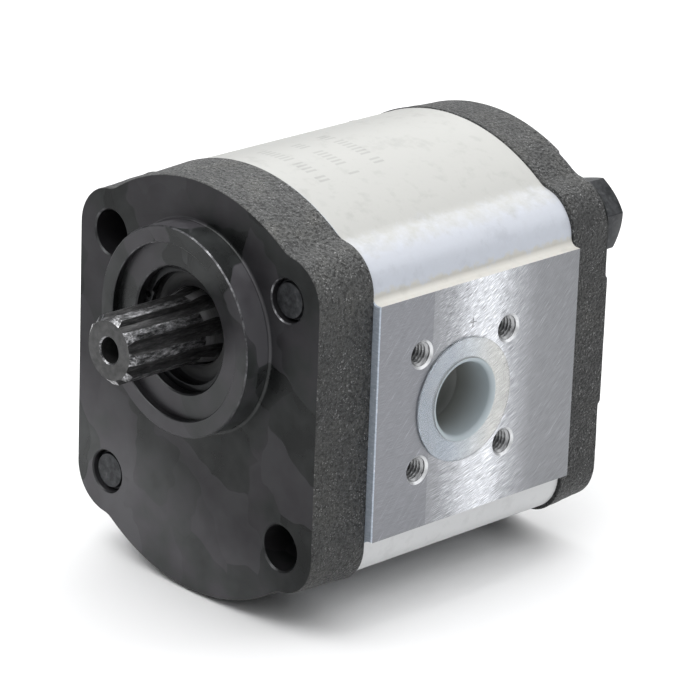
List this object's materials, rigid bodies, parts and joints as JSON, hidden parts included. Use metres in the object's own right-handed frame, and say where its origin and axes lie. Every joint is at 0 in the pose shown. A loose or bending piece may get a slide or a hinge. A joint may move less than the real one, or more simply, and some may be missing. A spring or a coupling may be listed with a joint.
{
  "type": "hydraulic gear pump",
  "caption": "External gear pump with a square bolted flange, a round pilot, a splined shaft and a flanged port with a dust plug on each side.",
  "frame": {"origin": "drive shaft's axis at the flange's mounting face, in the middle of the round pilot", "axes": "-Y out along the shaft, +Y to the rear cover, +X and -X out of the ports, +Z from the driven gear to the drive gear"},
  "size_m": [0.0894, 0.1278, 0.1025],
  "materials": {
    "cast_iron": "sand-cast, dark, with machined faces",
    "body_aluminium": "extruded satin with milled pads",
    "bearing_aluminium": "fine turned",
    "gear_steel": "hardened and ground",
    "bright_steel": "bright drawn",
    "bush_bronze": "smooth",
    "black_oxide": "black oxide on steel",
    "seal_rubber": "matte",
    "backup_plastic": "matte",
    "plug_plastic": "soft, waxy and slightly see-through"
  },
  "bodies": {
    "housing": {"front_cover": "cast_iron", "pump_body": "body_aluminium", "rear_cover": "cast_iron", "front_bearing_block": "bearing_aluminium", "rear_bearing_block": "bearing_aluminium", "front_drive_bush": "bush_bronze", "front_driven_bush": "bush_bronze", "rear_drive_bush": "bush_bronze", "rear_driven_bush": "bush_bronze", "front_body_seal": "seal_rubber", "rear_body_seal": "seal_rubber", "front_pressure_seal": "seal_rubber", "rear_pressure_seal": "seal_rubber", "front_backup_strip": "backup_plastic", "rear_backup_strip": "backup_plastic", "front_right_dowel": "bright_steel", "front_left_dowel": "bright_steel", "rear_right_dowel": "bright_steel", "rear_left_dowel": "bright_steel", "shaft_lip_seal": "seal_rubber", "seal_garter_spring": "bright_steel", "seal_retaining_ring": "black_oxide", "upper_cover_bolt": "black_oxide", "lower_cover_bolt": "black_oxide"},
    "drive_shaft": {"drive_gear_shaft": "gear_steel"},
    "driven_shaft": {"driven_gear_shaft": "gear_steel"},
    "outlet_plug": {"outlet_port_plug": "plug_plastic"},
    "inlet_plug": {"inlet_port_plug": "plug_plastic"}
  },
  "joints": [
    {"name": "drive_shaft_spin", "type": "hinge", "parent": "housing", "child": "drive_shaft", "pos_m": [0, 0, 0], "axis": [0, 1, 0], "continuous": true},
    {"name": "driven_shaft_spin", "type": "hinge", "parent": "housing", "child": "driven_shaft", "pos_m": [0, 0, -0.0311], "axis": [0, 1, 0], "continuous": true},
    {"name": "outlet_plug_pull", "type": "slide", "parent": "housing", "child": "outlet_plug", "axis": [1, 0, 0], "range_m": [0, 0.02]},
    {"name": "inlet_plug_pull", "type": "slide", "parent": "housing", "child": "inlet_plug", "axis": [-1, 0, 0], "range_m": [0, 0.02]}
  ],
  "couplings": [
    {"joint": "driven_shaft_spin", "follows": "drive_shaft_spin", "ratio": -1}
  ]
}
